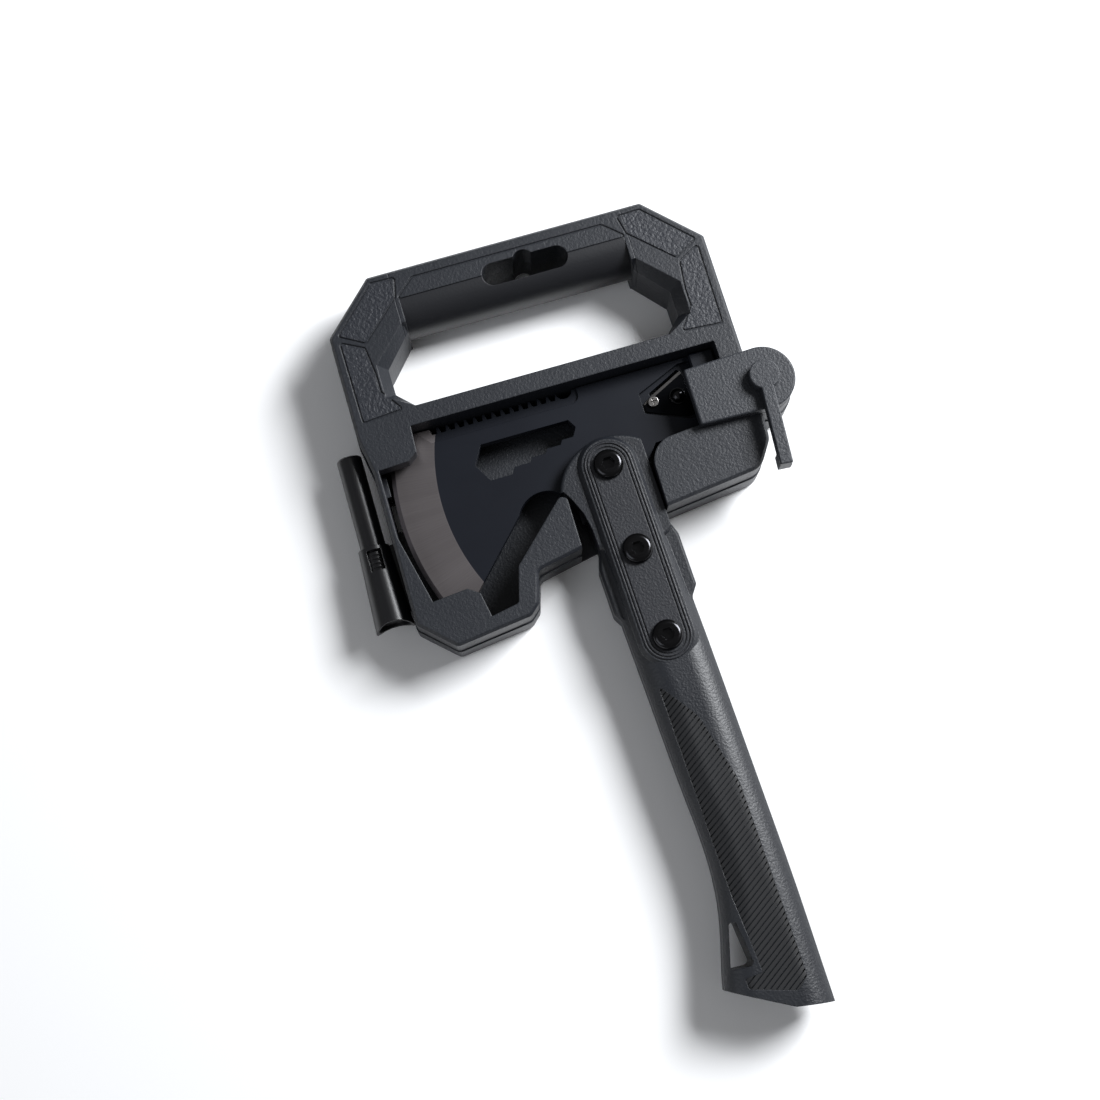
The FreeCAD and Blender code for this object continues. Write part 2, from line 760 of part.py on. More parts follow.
def saw_cuts():
    """Gullets along the upper edge and the rounded run-out at their end."""
    cuts = []
    for tooth in range(tooth_count):
        x = tooth_start + tooth * tooth_pitch
        cuts.append(slab([
            (x, head_top + 1.0),
            (x + tooth_pitch * 0.25, head_top - tooth_depth),
            (x + tooth_pitch * 0.75, head_top - tooth_depth),
            (x + tooth_pitch * 0.9, head_top + 1.0),
        ], head_back - 1, head_front + 1))
    run_out = relief_end - 2.0
    cuts.append(disc(run_out - 3.8, head_top + 0.6, 3.8, head_back - 1, head_front + 1))
    return cuts


def saw_relief(side):
    """Thinner strip behind the teeth."""
    depth = 0.9
    low = head_front - depth if side > 0 else head_back - 1
    high = head_front + 1 if side > 0 else head_back + depth
    return slab([
        (edge_x + 17.0, relief_low + 7.0),
        (edge_x + 23.0, relief_low),
        (relief_end, relief_low, 3.6),
        (relief_end, head_top + 2.0),
        (edge_x + 17.0, head_top + 2.0),
    ], low, high)


cutter_x = poll_x - 37.0    # left side of the strap cutter's recess
cutter_depth = 2.4
cutter_recess = [
    (cutter_x, 16.6, 1.0),
    (cutter_x, 26.2, 1.0),
    (cutter_x + 20.5, 34.8, 1.0),
    (poll_x - poll_length, 34.8, 0.5),
    (poll_x - poll_length, 8.6, 0.5),
    (cutter_x + 19.0, 8.9),
]
cutter_slot = [
    (cutter_x + 4.4, 25.6, 0.8),
    (cutter_x + 20.0, 33.2, 0.8),
    (cutter_x + 21.2, 30.9, 0.8),
    (cutter_x + 5.8, 23.3, 0.8),
]
cutter_screw_x = cutter_x + 5.4
cutter_screw_y = 21.2
breaker_x = cutter_x + 16.6
breaker_y = 20.8


def tang():
    body = block(handle_x - tang_width / 2, handle_x + tang_width / 2, first_screw_y - tang_length,
                 first_screw_y + 4.0, head_back, head_front)
    return lean(body)


def screw_centres():
    return [first_screw_y - index * screw_pitch for index in range(screw_count)]


def make_axe_head():
    body = Part.Face(blade_outline_wire(head_back)).extrude(point(0, 0, head_thickness))
    poll = block(poll_x - poll_length, poll_x, head_top - poll_height + 6.0, head_top,
                 mid_z - poll_thickness / 2, mid_z + poll_thickness / 2)
    poll = poll.makeChamfer(0.8, poll.Edges)
    body = body.fuse([poll, tang()]).removeSplitter()
    body = body.cut(bevel_ring(1)).cut(bevel_ring(-1))
    body = body.cut(wrench_cutout())
    for cut in saw_cuts():
        body = body.cut(cut)
    body = body.cut(saw_relief(1)).cut(saw_relief(-1))
    body = body.cut(slab(cutter_recess, head_front - cutter_depth, head_front + 1))
    body = body.cut(slab(cutter_slot, head_back - 1, head_front + 1))
    body = body.cut(disc(cutter_screw_x, cutter_screw_y, 1.5, head_back - 1, head_front))
    body = body.cut(disc(breaker_x, breaker_y, 1.8, head_back - 1, head_front))
    for y in screw_centres():
        body = body.cut(lean(disc(handle_x, y, nut_radius + 0.05, head_back - 1, head_front + 1)))
    return body.removeSplitter()


cutter_floor = head_front - cutter_depth


def make_cutter_blade():
    body = slab([
        (cutter_x + 1.2, 17.6, 1.0),
        (cutter_x + 1.2, 21.6, 1.0),
        (cutter_x + 5.6, 24.4),
        (cutter_x + 20.6, 31.8),
        (cutter_x + 21.6, 29.4, 0.5),
        (cutter_x + 21.6, 10.8, 0.5),
        (cutter_x + 18.0, 10.8, 1.0),
    ], cutter_floor, cutter_floor + 0.8)
    body = body.cut(disc(cutter_screw_x, cutter_screw_y, 1.5, 0, case_thickness))
    return body.cut(disc(breaker_x, breaker_y, 1.8, 0, case_thickness))


def make_cutter_screw():
    z = cutter_floor + 0.8
    head = disc(cutter_screw_x, cutter_screw_y, 2.5, z, z + 1.3)
    head = head.makeFillet(0.5, edges_at(head, z + 1.3))
    shank = disc(cutter_screw_x, cutter_screw_y, 1.5, head_back, z)
    drive = block(cutter_screw_x - 1.5, cutter_screw_x + 1.5, cutter_screw_y - 0.3, cutter_screw_y + 0.3,
                  z + 0.6, z + 2)
    cross = block(cutter_screw_x - 0.3, cutter_screw_x + 0.3, cutter_screw_y - 1.5, cutter_screw_y + 1.5,
                  z + 0.6, z + 2)
    return head.fuse(shank).cut(drive.fuse(cross)).removeSplitter()


def make_cutter_rivet():
    z = cutter_floor + 0.8
    flange = disc(breaker_x, breaker_y, 3.8, z, z + 0.8)
    dome = Part.makeSphere(3.4, point(breaker_x, breaker_y, z + 0.2))
    dome = dome.common(disc(breaker_x, breaker_y, 3.4, z + 0.5, z + 3.6))
    shank = disc(breaker_x, breaker_y, 1.8, head_back, z)
    return flange.fuse([dome, shank]).removeSplitter()


# ---------------------------------------------------------------- handle
# Stations down the handle: distance below the first screw, left edge, right edge
stations = [
    (-2.0, -11.0, 11.0),
    (20.0, -14.0, 14.0),
    (60.0, -16.0, 16.2),
    (100.0, -15.2, 16.8),
    (140.0, -14.4, 17.0),
    (170.0, -13.7, 17.2),
    (190.0, -15.6, 17.2),
    (206.0, -19.6, 17.0),
    (226.0, -25.4, 16.6),
    (252.0, -27.6, 16.2),
]


def handle_section(drop, left, right, inset):
    """Oval slice of the handle: a rounded rectangle that is nearly round at its sides."""
    half = handle_thickness / 2 - inset
    left = handle_x + left + inset
    right = handle_x + right - inset
    round_width = min(side_rounding, (right - left) / 2 - 1.0)
    y = first_screw_y - drop
    shoulder = half * 0.45

    def at(x, z):
        return point(x, y, mid_z + z)

    edges = [
        Part.makeLine(at(left + round_width, half), at(right - round_width, half)),
        Part.Arc(at(right - round_width, half), at(right - round_width * 0.26, half * 0.74),
                 at(right, shoulder)).toShape(),
        Part.makeLine(at(right, shoulder), at(right, -shoulder)),
        Part.Arc(at(right, -shoulder), at(right - round_width * 0.26, -half * 0.74),
                 at(right - round_width, -half)).toShape(),
        Part.makeLine(at(right - round_width, -half), at(left + round_width, -half)),
        Part.Arc(at(left + round_width, -half), at(left + round_width * 0.26, -half * 0.74),
                 at(left, -shoulder)).toShape(),
        Part.makeLine(at(left, -shoulder), at(left, shoulder)),
        Part.Arc(at(left, shoulder), at(left + round_width * 0.26, half * 0.74),
                 at(left + round_width, half)).toShape(),
    ]
    return Part.Wire(edges)


def handle_loft(inset):
    wires = [handle_section(drop, left, right, inset) for drop, left, right in stations]
    return Part.makeLoft(wires, True, False)


def butt_cut():
    """Everything below the slanted end of the handle."""
    high = first_screw_y - handle_end + 18.0
    low = first_screw_y - handle_end
    return slab([
        (handle_x - 60, high + 6.0),
        (handle_x - 25.0, high),
        (handle_x, low + 3.6),
        (handle_x + 18.0, low),
        (handle_x + 60, low - 2.0),
        (handle_x + 60, low - 60),
        (handle_x - 60, low - 60),
    ], -20, case_thickness + 20)


lanyard_hole = [
    (handle_x - 14.9, first_screw_y - 199.0, 1.2),
    (handle_x - 12.1, first_screw_y - 199.4, 1.2),
    (handle_x - 10.4, first_screw_y - 218.0, 2.0),
    (handle_x - 20.3, first_screw_y - 217.0, 1.0),
]

grip_zone = [
    (handle_x - 10.6, first_screw_y - 98.0, 0.5),
    (handle_x + 1.0, first_screw_y - 115.0, 12.0),
    (handle_x + 8.2, first_screw_y - 145.0, 30.0),
    (handle_x + 8.2, first_screw_y - 228.0, 2.0),
    (handle_x + 3.0, first_screw_y - 232.6, 2.0),
    (handle_x - 16.0, first_screw_y - 226.0, 1.5),
    (handle_x - 16.0, first_screw_y - 221.6, 1.0),
    (handle_x - 8.4, first_screw_y - 221.6, 1.0),
    (handle_x - 10.2, first_screw_y - 190.0, 2.0),
]


def make_inlay(side):
    skin = handle_loft(0.0).cut(handle_loft(inlay_depth))
    low = mid_z if side > 0 else -20
    high = case_thickness + 20 if side > 0 else mid_z
    return skin.common(slab(grip_zone, low, high))


def make_handle():
    body = handle_loft(0.0)
    collar = disc(handle_x + 1.5, first_screw_y - 13.0, collar_radius, mid_z - collar_thickness / 2,
                  mid_z + collar_thickness / 2)
    collar = collar.makeFillet(1.5, edges_at(collar, mid_z + collar_thickness / 2)
                               + edges_at(collar, mid_z - collar_thickness / 2))
    collar = collar.cut(block(handle_x + collar_right, handle_x + 60, -80, 60, 0, case_thickness))
    collar = collar.cut(slab([
        (handle_x - 60.0, first_screw_y - 5.0),
        (handle_x - 22.0, first_screw_y - 5.0),
        (handle_x - 19.8, first_screw_y - 9.0),
        (handle_x - 16.6, first_screw_y - 17.0),
        (handle_x - 15.4, first_screw_y - 25.0),
        (handle_x - 14.5, first_screw_y - 60.0),
        (handle_x - 60.0, first_screw_y - 60.0),
    ], 0, case_thickness))
    guard = slab([
        (handle_x - 12.0, first_screw_y - 24.0),
        (handle_x + 12.0, first_screw_y - 16.0),
        (handle_x + guard_right, first_screw_y - 37.0, 4.0),
        (handle_x + guard_right, first_screw_y - 60.6, 2.0),
        (handle_x + guard_right - 3.2, first_screw_y - 65.0, 3.0),
        (handle_x + 13.0, first_screw_y - 80.0),
        (handle_x - 12.0, first_screw_y - 80.0),
        (handle_x - guard_left + 2.8, first_screw_y - 68.0, 3.0),
        (handle_x - guard_left, first_screw_y - 62.6, 2.0),
        (handle_x - guard_left, first_screw_y - 42.0, 3.0),
    ], mid_z - guard_thickness / 2, mid_z + guard_thickness / 2)
    guard = guard.makeChamfer(1.0, edges_at(guard, mid_z + guard_thickness / 2)
                              + edges_at(guard, mid_z - guard_thickness / 2))
    last = screw_centres()[-1]
    spine = stadium(handle_x, last, first_screw_y, spine_radius, handle_back, handle_front)
    spine = spine.makeChamfer(spine_chamfer, edges_at(spine, handle_front) + edges_at(spine, handle_back))
    body = body.fuse([collar, guard, spine]).removeSplitter()
    body = body.cut(butt_cut())
    tang_room = block(handle_x - tang_width / 2, handle_x + tang_width / 2, first_screw_y - tang_length,
                      first_screw_y + 40.0, head_back, head_front)
    body = body.cut(tang_room)
    body = body.cut(slab(lanyard_hole, -20, case_thickness + 20))
    sunk = plate_thickness - plate_proud
    body = body.cut(stadium(handle_x, last, first_screw_y, plate_radius, handle_front - sunk, case_thickness))
    body = body.cut(stadium(handle_x, last, first_screw_y, plate_radius, 0, handle_back + sunk))
    for y in screw_centres():
        body = body.cut(disc(handle_x, y, nut_radius + 0.05, -20, case_thickness + 20))
    body = lean(body)
    head_plate = Part.Face(blade_outline_wire(head_back)).extrude(point(0, 0, head_thickness))
    return body.cut(head_plate)


def make_side_plate(side):
    """Stadium plate let into the handle, with two engraved rings."""
    top = handle_front + plate_proud
    last = screw_centres()[-1]
    body = stadium(handle_x, last, first_screw_y, plate_radius, top - plate_thickness, top)
    body = body.makeFillet(0.5, edges_at(body, top))
    for radius in (9.4, 7.9):
        ring = stadium(handle_x, last, first_screw_y, radius + 0.3, top - 0.5, top + 1)
        body = body.cut(ring.cut(stadium(handle_x, last, first_screw_y, radius - 0.3, top - 0.5, top + 1)))
    for y in screw_centres():
        body = body.cut(disc(handle_x, y, nut_radius + 0.05, 0, top + 1))
        if side < 0:
            body = body.cut(disc(handle_x, y, nut_flange_radius + 0.05, top - nut_flange_thickness, top + 1))
    if side < 0:
        body = body.mirror(point(0, 0, mid_z), point(0, 0, 1))
    return lean(body)


def make_handle_screws():
    """Button-head screws with hexagon sockets, from the front."""
    seat = handle_front + plate_proud
    screws = []
    for y in screw_centres():
        head = disc(handle_x, y, screw_head_diameter / 2, seat, seat + screw_head_height)
        head = head.makeFillet(screw_head_height - 0.7, edges_at(head, seat + screw_head_height))
        shank = disc(handle_x, y, screw_diameter / 2, seat - screw_length, seat)
        screw = head.fuse(shank).removeSplitter()
        screw = screw.cut(hexagon(handle_x, y, screw_socket, seat + 0.6, seat + 9.0))
        screws.append(lean(screw))
    return Part.makeCompound(screws)


def make_handle_nuts():
    """Sleeve nuts from the back, which take the screws inside the tang holes."""
    low = handle_back - plate_proud
    top = handle_front + plate_proud
    nuts = []
    for y in screw_centres():
        flange = disc(handle_x, y, nut_flange_radius, low, low + nut_flange_thickness)
        barrel = disc(handle_x, y, nut_radius, low, top - 1.0)
        nut = flange.fuse(barrel).removeSplitter()
        nut = nut.cut(disc(handle_x, y, screw_diameter / 2, top - screw_length - 1.0, top + 1))
        nut = nut.cut(hexagon(handle_x, y, screw_socket, low - 1.0, low + 2.0))
        nuts.append(lean(nut))
    return Part.makeCompound(nuts)


# ---------------------------------------------------------------- write every piece
os.makedirs("parts", exist_ok=True)
case_front = make_case_front()
case_back = make_case_back()
save("case_front_shell", case_front.cut(bar_space()))
save("case_back_shell", case_back.cut(bar_space()))
save("grip_bar_front", case_front.common(bar_space()))
save("grip_bar_back", case_back.common(bar_space()))
save("case_screws", make_case_screws())
save("grip_cover", make_grip_cover())
save("latch_washer", make_latch_washer())
save("latch_arm", make_latch_arm())
save("lock_lever", make_lock_lever())
save("latch_pivot_pin", make_pivot_pin())
save("pivot_clip", make_pivot_clip())
save("tube_sleeve", make_tube_sleeve())
save("starter_cap", make_starter_cap())
save("ferro_rod", make_ferro_rod())
save("release_tab", make_release_tab())
save("axe_head", make_axe_head())
save("strap_cutter_blade", make_cutter_blade())
save("cutter_screw", make_cutter_screw())
save("cutter_rivet", make_cutter_rivet())

handle = make_handle()
inlay_front = lean(make_inlay(1))
inlay_back = lean(make_inlay(-1))
save("handle_body", handle.cut(inlay_front).cut(inlay_back).removeSplitter())
save("grip_inlay_front", inlay_front)
save("grip_inlay_back", inlay_back)
save("side_plate_front", make_side_plate(1))
save("side_plate_back", make_side_plate(-1))
save("handle_screws", make_handle_screws())
save("handle_nuts", make_handle_nuts())
print(len(saved), "pieces")
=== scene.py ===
# %% [markdown]
# # A camping hatchet latched in its carry case
#
# The hatchet lies in a black moulded case with a D-shaped carrying handle. A swing latch
# holds its hammer end, and a fire starter tube is clipped to the left side.
# Everything with a real size is already modelled in CAD. This script loads that model as a
# fixed frame, adds the finer moulded detail, and gives every piece the finish of the real one.

# %% Load the CAD frame
import json
import math

import bpy
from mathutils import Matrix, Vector

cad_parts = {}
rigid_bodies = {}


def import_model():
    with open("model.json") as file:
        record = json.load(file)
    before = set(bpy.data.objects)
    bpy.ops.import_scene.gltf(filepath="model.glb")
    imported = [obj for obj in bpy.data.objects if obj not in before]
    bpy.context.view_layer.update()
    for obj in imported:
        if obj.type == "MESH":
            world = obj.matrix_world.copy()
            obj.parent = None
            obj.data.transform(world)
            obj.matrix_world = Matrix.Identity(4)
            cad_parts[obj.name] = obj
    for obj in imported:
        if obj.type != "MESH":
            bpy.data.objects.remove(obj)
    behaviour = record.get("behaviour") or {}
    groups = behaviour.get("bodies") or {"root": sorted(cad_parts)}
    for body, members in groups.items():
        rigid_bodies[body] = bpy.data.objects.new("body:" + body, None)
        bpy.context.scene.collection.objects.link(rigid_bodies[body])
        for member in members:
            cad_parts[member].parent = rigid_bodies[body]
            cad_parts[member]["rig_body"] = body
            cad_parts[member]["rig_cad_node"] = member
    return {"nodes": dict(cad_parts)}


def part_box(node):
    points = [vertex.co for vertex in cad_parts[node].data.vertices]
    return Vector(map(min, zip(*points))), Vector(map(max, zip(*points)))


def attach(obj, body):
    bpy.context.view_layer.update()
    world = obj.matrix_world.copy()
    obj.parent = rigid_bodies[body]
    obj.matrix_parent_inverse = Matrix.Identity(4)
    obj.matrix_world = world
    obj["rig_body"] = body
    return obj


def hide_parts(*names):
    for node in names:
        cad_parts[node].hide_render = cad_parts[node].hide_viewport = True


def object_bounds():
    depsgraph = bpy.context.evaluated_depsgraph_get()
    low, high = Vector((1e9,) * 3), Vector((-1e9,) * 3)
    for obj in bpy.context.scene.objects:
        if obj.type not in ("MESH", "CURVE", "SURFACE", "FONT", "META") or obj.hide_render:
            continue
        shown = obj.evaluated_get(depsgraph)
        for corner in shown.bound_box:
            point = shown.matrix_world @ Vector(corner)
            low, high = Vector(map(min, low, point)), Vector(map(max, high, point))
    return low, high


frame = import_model()
cad_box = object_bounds()
print("CAD box in mm:", [round(1000 * size, 1) for size in cad_box[1] - cad_box[0]])

# %% [markdown]
# ## Helpers for materials
#
# A material is a small network of nodes. One helper adds any node with its settings and
# links, so each material below reads as a short list of what it is made of. Colours are
# written as they look on a screen (sRGB hex) and turned to the linear numbers that a
# shader needs. Patterns are worked out from real sizes in millimetres.

# %% Colour and node helpers
MM = 0.001
case_colour = "#1d2026"


def linear(hex_colour):
    """Turns a screen colour such as #3a3c44 into the shader's linear colour."""
    channels = [int(hex_colour[start:start + 2], 16) / 255 for start in (1, 3, 5)]
    return [c / 12.92 if c <= 0.04045 else ((c + 0.055) / 1.055) ** 2.4 for c in channels] + [1.0]


def add(tree, kind, inputs, **settings):
    """Adds one node; an input is a plain value or another node's output."""
    made = tree.nodes.new(kind)
    for name, value in settings.items():
        setattr(made, name, value)
    for socket, value in inputs.items():
        if isinstance(value, bpy.types.NodeSocket):
            tree.links.new(value, made.inputs[socket])
        else:
            made.inputs[socket].default_value = value
    return made


def start_material(name):
    """A material with its shader and the object's own coordinates ready to use."""
    material = bpy.data.materials.new(name)
    material.use_nodes = True
    tree = material.node_tree
    shader = tree.nodes["Principled BSDF"]
    place = add(tree, "ShaderNodeTexCoord", {}).outputs["Object"]
    return material, tree, shader, place


def pattern_scale(size_mm):
    """Noise scale that gives spots of about this size."""
    return 1 / (size_mm * MM)


def mix_colours(tree, factor, first, second):
    """Blends two colours; each is a plain colour or another node's output."""
    return add(tree, "ShaderNodeMix", {0: factor, 6: first, 7: second}, data_type="RGBA").outputs[2]


print("linear value of the case colour:", [round(c, 3) for c in linear(case_colour)[:3]])

# %% [markdown]
# ## Moulded plastics
#
# The case is ABS, injection moulded in a tool whose steel was spark-eroded, which leaves
# a fine, even grain. That grain breaks up reflections, so black plastic looks satin grey
# under a big soft lamp. The latch, the handle and the tube are nylon with other grains.
# The grain could be drawn into the colour, but only a bump reacts to the light, so it is
# a bump here. The true grain is a few tenths of a millimetre wide. It is drawn about 1 mm
# wide, because finer spots would average out in a picture of this size. A bevel node
# rounds the sharp CAD edges by a fraction of a millimetre, as a mould does, which is what
# makes an edge catch the light.

# %% Moulded plastic
def moulded_plastic(name, colour, roughness, grain_mm, grain_height_mm, edge_mm=0.5, uneven=0.10):
    """Grained plastic: slightly uneven colour and gloss, a fine bump and soft edges."""
    material, tree, shader, place = start_material(name)
    cloud = add(tree, "ShaderNodeTexNoise", {"Vector": place, "Scale": pattern_scale(26), "Detail": 4.0})
    tint = linear(colour)
    dark = [c * (1 - uneven) for c in tint[:3]] + [1.0]
    light = [c * (1 + uneven) for c in tint[:3]] + [1.0]
    colours = mix_colours(tree, cloud.outputs["Fac"], dark, light)
    grain = add(tree, "ShaderNodeTexNoise", {
        "Vector": place, "Scale": pattern_scale(grain_mm), "Detail": 2.0, "Roughness": 0.6})
    gloss = add(tree, "ShaderNodeMapRange", {
        "Value": cloud.outputs["Fac"], "To Min": roughness - 0.04, "To Max": roughness + 0.04})
    edges = add(tree, "ShaderNodeBevel", {"Radius": edge_mm * MM}, samples=4)
    bump = add(tree, "ShaderNodeBump", {
        "Height": grain.outputs["Fac"], "Distance": grain_height_mm * MM, "Normal": edges.outputs[0]})
    tree.links.new(colours, shader.inputs["Base Color"])
    tree.links.new(gloss.outputs["Result"], shader.inputs["Roughness"])
    tree.links.new(bump.outputs["Normal"], shader.inputs["Normal"])
    shader.inputs["IOR"].default_value = 1.53
    return material


case_abs = moulded_plastic("moulded_abs_case", case_colour, 0.46, grain_mm=1.1, grain_height_mm=0.2,
                           edge_mm=0.7)
panel_abs = moulded_plastic("stippled_abs_panels", "#1f2229", 0.5, grain_mm=1.5, grain_height_mm=0.5)
grip_abs = moulded_plastic("smooth_abs_grip", "#1a1b1f", 0.4, grain_mm=0.9, grain_height_mm=0.06,
                           edge_mm=0.4)
latch_nylon = moulded_plastic("moulded_nylon_latch", "#23262c", 0.5, grain_mm=1.1, grain_height_mm=0.26)
tube_nylon = moulded_plastic("moulded_nylon_tube", "#0f0f12", 0.36, grain_mm=0.8, grain_height_mm=0.03,
                             edge_mm=0.3)
handle_nylon = moulded_plastic("glass_filled_nylon_handle", "#171a20", 0.44, grain_mm=1.0, grain_height_mm=0.18)
plate_nylon = moulded_plastic("moulded_nylon_side_plate", "#181a20", 0.46, grain_mm=1.0, grain_height_mm=0.18)
print("plastics:", case_abs.name, panel_abs.name, grip_abs.name, latch_nylon.name, tube_nylon.name)

# %% [markdown]
# ## The ribbed grip inlay's rubber
#
# Soft thermoplastic rubber is moulded over the handle. It has no gloss of its own, only a
# dull sheen, and its grain is almost too fine to see.

# %% Grip rubber
grip_rubber = moulded_plastic("moulded_grip_rubber", "#0f1013", 0.55, grain_mm=0.4, grain_height_mm=0.03,
                              edge_mm=0.2, uneven=0.15)
print("rubber:", grip_rubber.name)

# %% [markdown]
# ## Coated steel with a ground bevel
#
# The head is stamped from 5 mm steel and dipped in a dark, satin coating. Then the edge is
# ground on a belt, which cuts the coating away and leaves bare steel with fine straight
# scratches that run across the bevel. The bevel is a ring about the centre of the cutting
# arc, so the mask and the scratches are both worked out from the distance and the angle to
# that centre. A last, steeper grind along the edge itself is narrow and a little darker.
# The coating's gloss is kept low, or a lamp would show in it as in a mirror from the side.

# %% Coated head with bare bevel
arc_centre = Vector((33.2, 1.8, 0.0)) * MM
arc_radius = 111.9 * MM
bevel_width = 19.6 * MM
microbevel_width = 1.8 * MM
border = 0.1 * MM           # how far one finish fades into the next
scratch_stretch = 0.02      # scratches are 50 times longer than they are wide


def step_between(tree, value, low, high):
    """0 below the low value, 1 above the high one."""
    node = add(tree, "ShaderNodeMapRange", {"Value": value, "From Min": low, "From Max": high})
    return node.outputs["Result"]


def coated_head():
    material, tree, shader, place = start_material("coated_steel_head")
    from_centre = add(tree, "ShaderNodeVectorMath", {0: place, 1: arc_centre}, operation="SUBTRACT")
    split = add(tree, "ShaderNodeSeparateXYZ", {0: from_centre.outputs[0]})
    flat = add(tree, "ShaderNodeCombineXYZ", {0: split.outputs[0], 1: split.outputs[1]})
    reach = add(tree, "ShaderNodeVectorMath", {0: flat.outputs[0]}, operation="LENGTH").outputs["Value"]
    turn = add(tree, "ShaderNodeMath", {0: split.outputs[1], 1: split.outputs[0]}, operation="ARCTAN2")
    bevel_start = arc_radius - bevel_width
    microbevel_start = arc_radius - microbevel_width
    bare = step_between(tree, reach, bevel_start - border, bevel_start + border)
    last = step_between(tree, reach, microbevel_start - border, microbevel_start)

    # Scratches: long across the bevel, about half a millimetre apart along the edge
    around = add(tree, "ShaderNodeMath", {0: turn.outputs[0], 1: arc_radius}, operation="MULTIPLY")
    scratch_place = add(tree, "ShaderNodeCombineXYZ", {0: around.outputs[0], 1: 0.0})
    slow = add(tree, "ShaderNodeMath", {0: reach, 1: scratch_stretch}, operation="MULTIPLY")
    tree.links.new(slow.outputs[0], scratch_place.inputs[1])
    scratches = add(tree, "ShaderNodeTexNoise", {
        "Vector": scratch_place.outputs[0], "Scale": pattern_scale(0.5), "Detail": 3.0, "Roughness": 0.7})
    bands = add(tree, "ShaderNodeTexNoise", {
        "Vector": scratch_place.outputs[0], "Scale": pattern_scale(7), "Detail": 2.0})

    cloud = add(tree, "ShaderNodeTexNoise", {"Vector": place, "Scale": pattern_scale(30), "Detail": 3.0})
    specks = add(tree, "ShaderNodeTexNoise", {"Vector": place, "Scale": pattern_scale(0.35), "Detail": 1.0})
    coating = mix_colours(tree, cloud.outputs["Fac"], linear("#0b0e16"), linear("#10141d"))
    steel = mix_colours(tree, bands.outputs["Fac"], linear("#8d8788"), linear("#b3acad"))
    steel = mix_colours(tree, scratches.outputs["Fac"], steel, linear("#7d7879"))
    steel = mix_colours(tree, last, steel, linear("#6d686b"))
    colour = mix_colours(tree, bare, coating, steel)
    coat_gloss = add(tree, "ShaderNodeMapRange", {
        "Value": cloud.outputs["Fac"], "To Min": 0.38, "To Max": 0.43}).outputs["Result"]
    steel_gloss = add(tree, "ShaderNodeMapRange", {
        "Value": scratches.outputs["Fac"], "To Min": 0.36, "To Max": 0.5}).outputs["Result"]
    gloss = add(tree, "ShaderNodeMix", {0: bare, 2: coat_gloss, 3: steel_gloss}, data_type="FLOAT")
    height = add(tree, "ShaderNodeMix", {0: bare, 2: specks.outputs["Fac"], 3: scratches.outputs["Fac"]},
                 data_type="FLOAT")
    edges = add(tree, "ShaderNodeBevel", {"Radius": 0.3 * MM}, samples=4)
    bump = add(tree, "ShaderNodeBump", {
        "Height": height.outputs[0], "Distance": 0.02 * MM, "Normal": edges.outputs[0]})
    tree.links.new(colour, shader.inputs["Base Color"])
    tree.links.new(bare, shader.inputs["Metallic"])
    shader.inputs["Specular IOR Level"].default_value = 0.3
    tree.links.new(gloss.outputs[0], shader.inputs["Roughness"])
    tree.links.new(bump.outputs["Normal"], shader.inputs["Normal"])
    return material


head_steel = coated_head()
print("head material has", len(head_steel.node_tree.nodes), "nodes")

# %% [markdown]
# ## Small metal parts
#
# The strap cutter's blade is oiled black steel with a bright ground edge, and its screw is
# bare ground steel, as are the latch pin and its washer and clip. The screws, nuts and the
# rivet have a black oxide finish that is oiled and glossy. The starter rod is ferrocerium,
# a dull dark grey metal.

# %% Small metals
def plain_metal(name, colour, roughness, scratch_mm, metallic=1.0):
    """Metal with a faint uneven tone and fine scratches along X."""
    material, tree, shader, place = start_material(name)
    stretched = add(tree, "ShaderNodeMapping", {"Vector": place, "Scale": (0.08, 1.0, 1.0)})
    scratches = add(tree, "ShaderNodeTexNoise", {
        "Vector": stretched.outputs[0], "Scale": pattern_scale(scratch_mm), "Detail": 3.0})
    tone = linear(colour)
    dark = [c * 0.8 for c in tone[:3]] + [1.0]
    tree.links.new(mix_colours(tree, scratches.outputs["Fac"], dark, tone), shader.inputs["Base Color"])
    gloss = add(tree, "ShaderNodeMapRange", {
        "Value": scratches.outputs["Fac"], "To Min": roughness - 0.06, "To Max": roughness + 0.06})
    tree.links.new(gloss.outputs["Result"], shader.inputs["Roughness"])
    edges = add(tree, "ShaderNodeBevel", {"Radius": 0.15 * MM}, samples=4)
    bump = add(tree, "ShaderNodeBump", {
        "Height": scratches.outputs["Fac"], "Distance": 0.01 * MM, "Normal": edges.outputs[0]})
    tree.links.new(bump.outputs["Normal"], shader.inputs["Normal"])
    shader.inputs["Metallic"].default_value = metallic
    return material


def cutter_steel():
    """The strap cutter: oiled black steel, with a bright edge ground along its upper left side."""
    material = plain_metal("strap_cutter_steel", "#6f6d6c", 0.3, scratch_mm=0.4)
    tree = material.node_tree
    shader = tree.nodes["Principled BSDF"]
    place = tree.nodes["Texture Coordinate"].outputs["Object"]
    from_edge = add(tree, "ShaderNodeVectorMath", {0: place, 1: cutter_edge_point}, operation="SUBTRACT")
    depth = add(tree, "ShaderNodeVectorMath", {0: from_edge.outputs[0], 1: cutter_edge_inwards},
                operation="DOT_PRODUCT")
    dull = step_between(tree, depth.outputs["Value"], cutter_edge_width, cutter_edge_width + border)
    bright = shader.inputs["Base Color"].links[0].from_socket
    tree.links.new(mix_colours(tree, dull, bright, linear("#141518")), shader.inputs["Base Color"])
    return material


